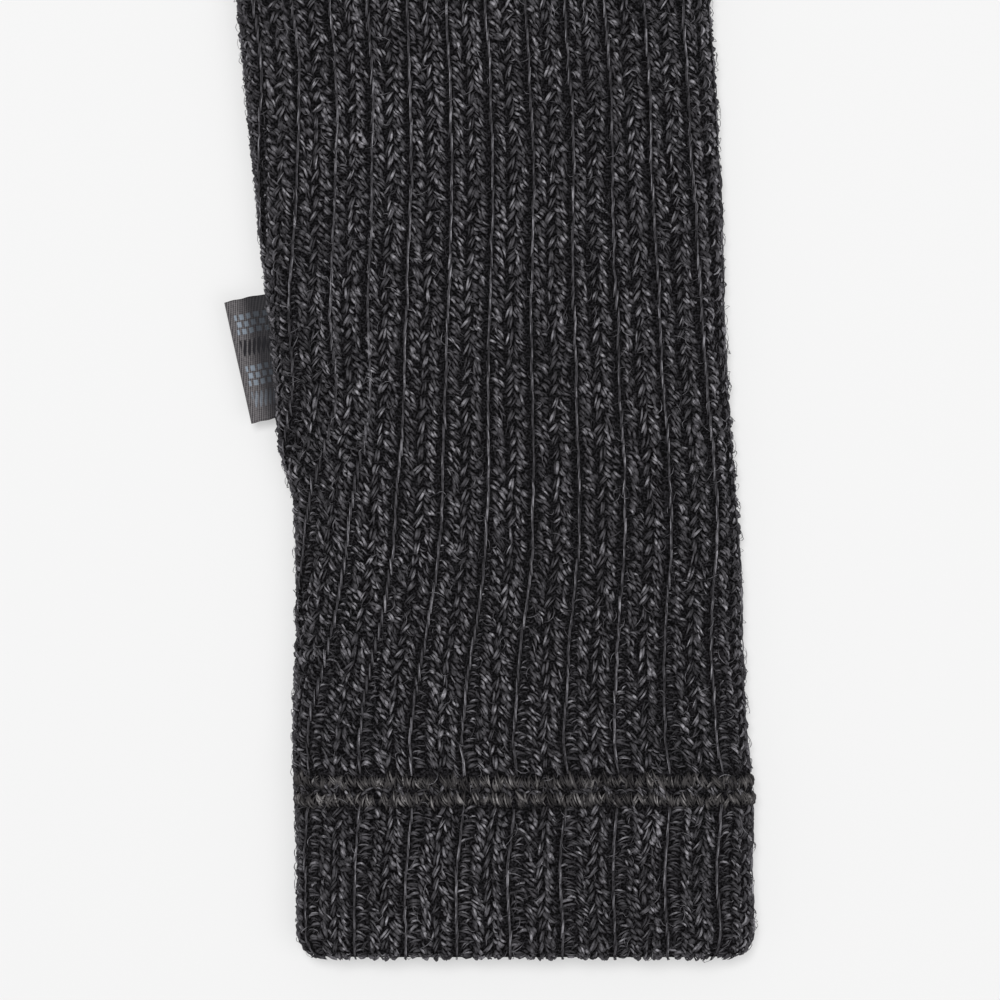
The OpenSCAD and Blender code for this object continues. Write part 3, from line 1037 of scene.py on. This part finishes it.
    def core(self) -> bpy.types.Object:
        """Build the closed wall that the yarn lies on, open at the seam and the thumb.

        Returns:
            The finished core.
        """
        o, end = self.outline, self.outline.length
        face, single, doubled, rim, gap = 1.6, 2.3, 2.45, 1.7, 0.5
        up = np.concatenate([[rim], np.arange(3.2, end - 3.2, 1.6), [end - rim]])
        hems = ease((o.hem_depth - up) / 1.5) + ease((up - end + o.finger_hem_depth) / 1.5)
        inner = single + (doubled - single) * hems
        y = np.concatenate([up, [end - rim + 0.7], up[::-1], [rim - 0.7]])[:, None]
        turn = [(face + doubled) / 2]
        d = np.concatenate([np.full(len(up), face), turn, inner[::-1], turn])[:, None]
        half = self.surface.half_round(y)
        s = np.linspace(-1, 1, 121)[None, :] * (half - gap)
        rows, cols = s.shape
        near = bump(s, 6.0) + bump(half - np.abs(s), 5.0)
        d = d - 0.95 * near * (d < face + 0.1)
        points = self.surface.at(s, np.broadcast_to(y, s.shape), d)
        number = np.arange(rows * cols).reshape(rows, cols)
        after = np.roll(number, -1, 0)
        quads = np.stack([number[:, :-1], number[:, 1:], after[:, 1:], after[:, :-1]], -1).reshape(-1, 4)
        ends, count = [], len(up)
        for column, step in ((0, 1), (cols - 1, -1)):
            for a in range(count - 1):
                ends.append([number[i, column] for i in (a, a + 1, 2 * count - 1 - a, 2 * count - a)][::step])
            ends.append([number[i, column] for i in (count - 1, count, count + 1)][::step])
            ends.append([number[i, column] for i in (2 * count + 1, 0, 2 * count)][::step])
        counts = np.array([4] * len(quads) + [len(f) for f in ends])
        corners = np.concatenate([quads.ravel(), np.concatenate(ends)])
        mesh = new_mesh("knit_core", points.reshape(-1, 3), corners, counts)
        shade(mesh, self.shadow)
        LOG.info("knit_core: %d faces", len(mesh.polygons))
        return link("knit_core", mesh)

    def build(self) -> list[bpy.types.Object]:
        """Build every band of yarn.

        Returns:
            The yarn pieces.
        """
        end = self.outline.length
        face, back = Detail.FACE, Detail.BACK
        bands = [
            KnitBand("wrist_lining_knit", -99, -3.5, back, True),
            KnitBand("wrist_hem_knit", -3.5, self.rows[0], face, True),
            KnitBand("cuff_knit", self.rows[0], 62, face, True),
            KnitBand("forearm_knit", 62, 96, face, True),
            KnitBand("palm_knit", 96, 132, face, True),
            KnitBand("thumb_knit", 132, 170, face, True),
            KnitBand("knuckle_knit", 170, 212, face, True),
            KnitBand("finger_knit", 212, end + 3.5, face, True),
            KnitBand("finger_lining_knit", end + 3.5, 999, back, True),
            KnitBand("underside_cuff_knit", -99, 70, back, False),
            KnitBand("underside_palm_knit", 70, 155, back, False),
            KnitBand("underside_finger_knit", 155, 999, back, False),
        ]
        templates = {detail: PlyTemplate(detail) for detail in (face, back)}
        return [
            self.yarn(band, templates[band.detail], SEED + seed).build(band.name, self.wool)
            for seed, band in enumerate(bands)
        ]


# ---------------------------------------------------------------- seams and stitching


@dataclass
class Needlework:
    """The stitching that holds the glove together. Millimetres."""

    knit: GloveKnit
    thread: bpy.types.Material
    face: PlyTemplate = field(init=False)
    cord: PlyTemplate = field(init=False)

    def __post_init__(self) -> None:
        """Make the plies that the stitching is laid from."""
        self.face, self.cord = PlyTemplate(Detail.FACE), PlyTemplate(Detail.CORD)

    def hem_row(self, node: str, seed: int) -> bpy.types.Object:
        """Lay one row of chain stitching round a hem.

        Args:
            node: The CAD row that it stands for.
            seed: Picks its small differences.

        Returns:
            The finished row.
        """
        surface, rng = self.knit.surface, np.random.default_rng(seed)
        row = self.knit.outline.middle(node)
        half = float(surface.half_round(np.array(row)))
        s = np.arange(-half, half, 1.45)
        made = Stitches(surface, self.face, seed)
        lay = row + 0.22 * drift(s, seed, 70)
        stitches = (
            (Run(1.3, -2.2, 0.62, 0.5, 0.6, bow=0.15, plies=3, loose=0.9), 0.0, 0.0, -0.75),
            (Run(0.6, 2.2, 0.5, 0.42, 0.5, bow=-0.2, plies=2, loose=0.9), 0.72, -0.1, -0.9),
        )
        for run, shift, rise, height in stitches:
            count = len(s)
            made.add(
                run,
                s + shift + 0.2 * rng.normal(0, 1, count),
                lay + rise + 0.16 * rng.normal(0, 1, count),
                height + 0.1 * rng.normal(0, 1, count) + 0.12 * np.sin(s * TAU / 9),
                1 + 0.07 * rng.normal(0, 1, count),
                np.clip(rng.uniform(0, 0.8, count) + 0.25 * drift(s, seed + 5, 31), 0, 1),
            )
        return self._done(made, node + "_thread", [node], "sewing_thread")

    def side_seam(self, node: str, seed: int) -> bpy.types.Object:
        """Close a side seam with short runs that cross it, two to a course.

        Args:
            node: The CAD seam that it stands for.
            seed: Picks its small differences.

        Returns:
            The finished seam.
        """
        surface, rng = self.knit.surface, np.random.default_rng(seed)
        start, stop = self.knit.outline.span(node)
        q = np.arange(start + 0.5, stop, self.knit.rib.course / 2)
        half = surface.half_round(q)
        made = Stitches(surface, self.face, seed)
        falling = Run(2.1, -1.5, 0.6, 0.42, 0.5, plies=3)
        rising = Run(1.9, 1.3, 0.5, 0.4, 0.4, plies=2)
        for run, shift in ((falling, -0.5), (rising, 0.6)):
            count = len(q)
            made.add(
                run,
                half + shift + 0.1 * rng.normal(0, 1, count),
                q + shift,
                -0.7 + 0.08 * rng.normal(0, 1, count),
                np.ones(count),
                rng.uniform(0, 1, count),
            )
        return self._done(made, node + "_yarn", [node], "wool_knit")

    def allowance(self, node: str, seed: int) -> bpy.types.Object:
        """Overcast the two edges sewn together inside the seam.

        Args:
            node: The CAD allowance that it stands for.
            seed: Picks its small differences.

        Returns:
            The finished allowance.
        """
        o, rng = self.knit.outline, np.random.default_rng(seed)
        low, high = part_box(node)
        start, stop = o.span(node)
        start, stop = start + 0.6, stop - 0.6
        thick = (high.z - low.z) / 2 / MM
        roll = RolledSurface(o, lambda q: (o.left(q) + 4.3, o.thick(q) / 2), 1.75, min(thick, 1.1) - 0.25)
        made = Stitches(roll, self.face, seed)
        for line in range(4):
            q = np.arange(start, stop, 1.9) + 0.45 * line
            q = q[q < stop]
            count = len(q)
            s = (line - 1.5) * 2.15 + 0.15 * rng.normal(0, 1, count)
            run = Run(2.5, 1.1, 0.42, 0.3, 0.15, plies=2)
            h = 0.05 * rng.normal(0, 1, count)
            made.add(run, s, q, h, np.ones(count), 0.8 * rng.uniform(0, 1, count))
        return self._done(made, node + "_overcast", [node], "wool_knit")

    def allowance_core(self, node: str) -> bpy.types.Object:
        """Build the folded edges that the overcasting wraps."""
        o = self.knit.outline
        start, stop = o.span(node)
        q = np.arange(start + 0.5, stop - 0.5, 2.0)
        roll = RolledSurface(o, lambda y: (o.left(y) + 4.3, o.thick(y) / 2), 1.7, 0.8)
        around = np.arange(12) / 12 * math.pi * (roll.wide + roll.high)
        points = roll.place(around[None, :], q[:, None], np.full((len(q), 12), -0.1)).reshape(-1, 3)
        number = np.arange(len(points)).reshape(len(q), 12)
        turned = np.roll(number, -1, 1)
        quads = np.stack([number[:-1], number[1:], turned[1:], turned[:-1]], -1).reshape(-1)
        corners = np.concatenate([quads, number[0], number[-1][::-1]])
        mesh = new_mesh(node + "_edges", points, corners, np.array([4] * (len(quads) // 4) + [12, 12]))
        shade(mesh, self.knit.shadow)
        piece = link(node + "_edges", mesh)
        return piece

    def thumb_edges(self, seed: int) -> bpy.types.Object:
        """Roll and overcast the two edges of the thumb opening.

        Args:
            seed: Picks its small differences.

        Returns:
            The finished upper edge; the under edge is built too.
        """
        o, surface, rng = self.knit.outline, self.knit.surface, np.random.default_rng(seed)
        start, stop = o.span("thumb_edge")
        start, stop = start + 0.4, stop - 0.4
        made = []
        for side in (1, -1):

            def centre(q: np.ndarray, side: int = side) -> tuple[np.ndarray, np.ndarray]:
                """Return the middle of the roll: the panel's edge, halfway down its thickness."""
                half = surface.half_round(q)
                points = surface.at(side * (half - 0.9), q, np.full(np.shape(q), 1.25)) / MM
                return points[..., 0], points[..., 2]

            roll = Stitches(RolledSurface(o, centre, 0.95, 0.95), self.face, seed + side)
            for line in range(6):
                q = np.arange(start, stop, 1.55) + 0.26 * line
                count = len(q)
                s = line * 1.0 + 0.08 * rng.normal(0, 1, count)
                run = Run(1.7, 0.95, 0.44, 0.34, 0.1, plies=2)
                roll.add(run, s, q, 0.05 * rng.normal(0, 1, count), np.ones(count), rng.uniform(0, 1, count))
            made.append(self._done(roll, f"thumb_edge_{'top' if side > 0 else 'under'}", [], "wool_knit"))
        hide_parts("thumb_edge")
        return made[0]

    def bar_tack(self, node: str, seed: int) -> bpy.types.Object:
        """Wrap a bar of thread round the seam at one end of the thumb opening.

        Args:
            node: The CAD tack that it stands for.
            seed: Picks its small differences.

        Returns:
            The finished tack.
        """
        o, rng = self.knit.outline, np.random.default_rng(seed)
        low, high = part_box(node)
        x, z = (low.x + high.x) / 2 / MM, (low.z + high.z) / 2 / MM

        def centre(q: np.ndarray) -> tuple[np.ndarray, np.ndarray]:
            """Return the middle of the tack: the same place at every height."""
            return np.full(np.shape(q), x + 0.75), np.full(np.shape(q), z)

        roll = RolledSurface(o, centre, 0.75, 1.6, math.pi)
        made = Stitches(roll, self.cord, seed)
        q = np.arange(low.y / MM + 0.3, high.y / MM - 0.1, 0.46) - o.wrist
        run = Run(4.6, 0.3, 0.3, 0.3, 0.0, plies=1, taper=0.2)
        count = len(q)
        h = 0.1 + 0.05 * rng.normal(0, 1, count)
        made.add(run, np.zeros(count), q, h, np.ones(count), rng.uniform(0, 1, count))
        return self._done(made, node + "_thread", [node], "sewing_thread")

    def strays(self, seed: int, count: int = 300) -> bpy.types.Object:
        """Scatter loose fibres over the knit.

        Args:
            seed: Picks where they lie.
            count: How many of each of the twenty shapes.

        Returns:
            The finished fibres.
        """
        surface, rng = self.knit.surface, np.random.default_rng(seed)
        made = Stitches(surface, PlyTemplate(Detail.FIBRE), seed)
        for _ in range(20):
            turn, length = rng.uniform(0, TAU), rng.uniform(1.1, 3.4)
            arch, bow = rng.uniform(0.3, 1.0), rng.uniform(-1, 1)
            run = Run(length * math.cos(turn), length * math.sin(turn), 0.07, 0.05, arch, bow, taper=0.7)
            q = rng.uniform(1, self.knit.outline.length - 1, count)
            s = rng.uniform(-1, 1, count) * surface.half_round(q)
            edge = rng.uniform(0, 1, count) < 0.012
            side = rng.choice([0.0, 1.0], count) * surface.half_round(q) + rng.normal(0, 1.5, count)
            s = np.where(edge, side, s)
            clear = surface.half_round(q) - 2.6
            s = np.where(surface.slit(q) > 0, np.clip(s, -clear, clear), s)
            made.add(run, s, q, rng.uniform(-0.35, 0.1, count), np.ones(count), rng.uniform(0.2, 0.9, count))
        return self._done(made, "stray_fibres", [], "wool_knit")

    def _done(self, made: Stitches, name: str, nodes: list[str], slot: str) -> bpy.types.Object:
        """Build a piece in the wool or the thread, as its slot says, and hide the CAD nodes that it stands
        for.
        """
        piece = made.build(name, self.knit.wool if slot == "wool_knit" else self.thread)
        if nodes:
            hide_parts(*nodes)
        return piece

    def build(self) -> None:
        """Lay every seam and row."""
        for number, node in enumerate(HEM_ROWS):
            self.hem_row(node, 200 + number)
        for number, part in enumerate(("lower", "upper")):
            self.side_seam("side_seam_" + part, 210 + number)
            self.allowance("seam_allowance_" + part, 220 + number)
            self.allowance_core("seam_allowance_" + part)
            self.bar_tack("thumb_tack_" + part, 230 + number)
        self.thumb_edges(240)
        self.strays(250)


# ---------------------------------------------------------------- the label


@dataclass
class Label:
    """The folded ribbon in the side seam. Millimetres."""

    material: bpy.types.Material
    thick: float = 0.34
    fold: float = 0.55
    reach: float = 4.9
    tuck: float = 4.0
    tilt: float = math.radians(6)

    def build(self) -> bpy.types.Object:
        """Build the ribbon from its fold back into the seam, so that it bends where it meets the knit.

        Returns:
            The finished label.
        """
        joint = next(j for j in frame["record"]["behaviour"]["joints"] if j["name"] == "label_fold")
        hinge, axis = np.array(joint["pos_m"]) / MM, np.array(joint["axis"])
        low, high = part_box("label_tails")
        turn = math.atan2(-axis[0], axis[1])
        width = ((high.y - low.y) / MM - self.tuck * math.sin(turn) * 0.9) / math.cos(turn)
        half = width / 2
        steps, bend = 26, np.linspace(0.25, math.pi - 0.25, 9)
        out = np.concatenate([
            np.linspace(-self.tuck, self.reach - self.fold, steps),
            self.reach - self.fold + self.fold * np.sin(bend),
            np.linspace(self.reach - self.fold, -self.tuck, steps),
        ])
        rise = np.concatenate([np.full(steps, 1.0), np.cos(bend), np.full(steps, -1.0)])
        flat = np.clip((out + self.tuck) / (self.reach + self.tuck), 0, 1)
        rise = rise * (0.2 + (self.fold - 0.2) * ease((flat - 0.25) / 0.7))
        along = np.concatenate([[0], np.cumsum(np.hypot(np.diff(out), np.diff(rise)))])
        slope = np.stack([np.gradient(out), np.gradient(rise)], -1)
        normal = np.stack([-slope[:, 1], slope[:, 0]], -1) / np.linalg.norm(slope, axis=1)[:, None]
        ups = np.linspace(-half, half, 45)
        skins = []
        for side in (0.5, -0.5):
            a = out[:, None] + side * self.thick * normal[:, :1] + 0 * ups[None, :]
            z = rise[:, None] + side * self.thick * normal[:, 1:] + 0 * ups[None, :]
            z = z + 0.16 * np.sin(ups * 0.34 + 0.6)[None, :] * ease(flat * 1.3)[:, None]
            b = ups[None, :] + 0.05 * np.sin(a * 2.3)
            lean = self.tilt * ease((a + 2) / 3)
            x, y = -a * np.cos(lean) - b * np.sin(lean), -a * np.sin(lean) + b * np.cos(lean)
            skins.append(np.stack([
                hinge[0] + x * math.cos(turn) - y * math.sin(turn),
                hinge[1] + x * math.sin(turn) + y * math.cos(turn),
                hinge[2] + z,
            ], -1) * MM)
        rows, cols = len(out), len(ups)
        number = np.arange(2 * rows * cols).reshape(2, rows, cols)
        loop = np.concatenate([number[0], number[1][:, ::-1]], 1)
        after = np.roll(loop, -1, 1)
        quads = np.stack([loop[:-1], loop[1:], after[1:], after[:-1]], -1).reshape(-1, 4)
        caps = []
        for row, flip in ((0, 1), (rows - 1, -1)):
            upper, lower = number[0, row], number[1, row]
            caps += [[upper[c], upper[c + 1], lower[c + 1], lower[c]][::flip] for c in range(cols - 1)]
        faces = np.concatenate([quads, np.array(caps)])
        points = np.concatenate([skin.reshape(-1, 3) for skin in skins])
        mesh = new_mesh("label_ribbon", points, faces.ravel(), np.full(len(faces), 4))
        vertex = np.arange(2 * rows * cols) % (rows * cols)
        place = np.stack([along[vertex // cols], ups[vertex % cols]], -1)
        corner = np.zeros(len(mesh.loops), np.int32)
        mesh.loops.foreach_get("vertex_index", corner)
        add_uv(mesh, "Ribbon", place[corner])
        shade(mesh, self.material)
        piece = bpy.data.objects.new("label_ribbon", mesh)
        bpy.context.scene.collection.objects.link(piece)
        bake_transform(piece)
        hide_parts("label_loop", "label_tails")
        width * MM
        LOG.info("label_ribbon: %d faces", len(mesh.polygons))
        return piece


# ---------------------------------------------------------------- the studio


@dataclass
class Studio:
    """Floor, lights and camera round the glove. Metres."""

    view_width: float = 0.1766
    lens: float = 150.0
    east: float = -0.00406
    north: float = 0.0812
    level: float = 0.0054

    def floor(self) -> None:
        """Lay a pale, faintly lit floor."""
        clear_selection()
        bpy.ops.mesh.primitive_plane_add(size=6.0, location=(0, 0, 0))
        floor = bpy.context.object
        floor.name = "floor"
        sh = Shader("floor_paper")
        paper = sh.finish(
            Base_Color=(0.4, 0.4, 0.4, 1),
            Roughness=0.95,
            Specular_IOR_Level=0.0,
            Emission_Color=(1, 1, 1, 1),
            Emission_Strength=0.43,
        )
        floor.data.materials.append(paper)

    def light(self, name: str, where: tuple[float, float, float], size: float, power: float) -> None:
        """Hang one square soft light that faces the glove.

        Args:
            name: Its name.
            where: Its place.
            size: Its side.
            power: Its power in watts.
        """
        data = bpy.data.lights.new(name, "AREA")
        data.shape, data.size, data.energy = "SQUARE", size, power
        lamp = bpy.data.objects.new(name, data)
        bpy.context.scene.collection.objects.link(lamp)
        lamp.location = where
        lamp.rotation_mode = "QUATERNION"
        lamp.rotation_quaternion = (-Vector(where)).to_track_quat("-Z", "Y")

    def build(self) -> None:
        """Set the floor, the lights, the sky and the camera."""
        self.floor()
        self.light("key_light", (-0.12, 0.16, 1.25), 0.35, 11.0)
        self.light("fill_light", (0.45, -0.3, 1.2), 0.9, 5.0)
        world = bpy.data.worlds.new("studio_air")
        bpy.context.scene.world = world
        world.use_nodes = True
        world.node_tree.nodes["Background"].inputs[0].default_value = (1, 1, 1, 1)
        world.node_tree.nodes["Background"].inputs[1].default_value = 0.35
        hem_low, hem_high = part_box("wrist_hem")
        data = bpy.data.cameras.new("camera")
        data.lens, data.sensor_width = self.lens, 36.0
        camera = bpy.data.objects.new("camera", data)
        bpy.context.scene.collection.objects.link(camera)
        away = self.view_width * self.lens / data.sensor_width
        middle = (hem_low.x + hem_high.x) / 2
        camera.location = (middle + self.east, hem_low.y + self.north, self.level + away)
        data.clip_start, data.clip_end = 0.01, 20.0
        bpy.context.scene.camera = camera
        bpy.context.scene.view_settings.view_transform = "Standard"


def main() -> None:
    """Build the glove and its studio."""
    logging.basicConfig(level=logging.INFO, format="%(message)s")
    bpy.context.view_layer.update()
    outline = Outline()
    surface = KnitSurface(outline)
    wool = WoolFinish("charcoal_wool").material()
    middle, pale = (0.082, 0.077, 0.077, 1), (0.36, 0.345, 0.345, 1)
    thread = WoolFinish("hem_thread", middle=middle, pale=pale).material()
    rows = [outline.middle(node) for node in HEM_ROWS]
    knit = GloveKnit(outline, surface, Rib(surface), wool, CoreFinish().material(), rows)
    core = knit.core()
    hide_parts("knit_panel", "wrist_hem", "finger_hem")
    yarn = knit.build()
    around, tall = 2 * float(surface.half_round(np.array(100.0))), outline.length + outline.hem_depth
    Needlework(knit, thread).build()
    Label(RibbonFinish().material()).build()
    Studio().build()


if __name__ == "__main__":
    main()
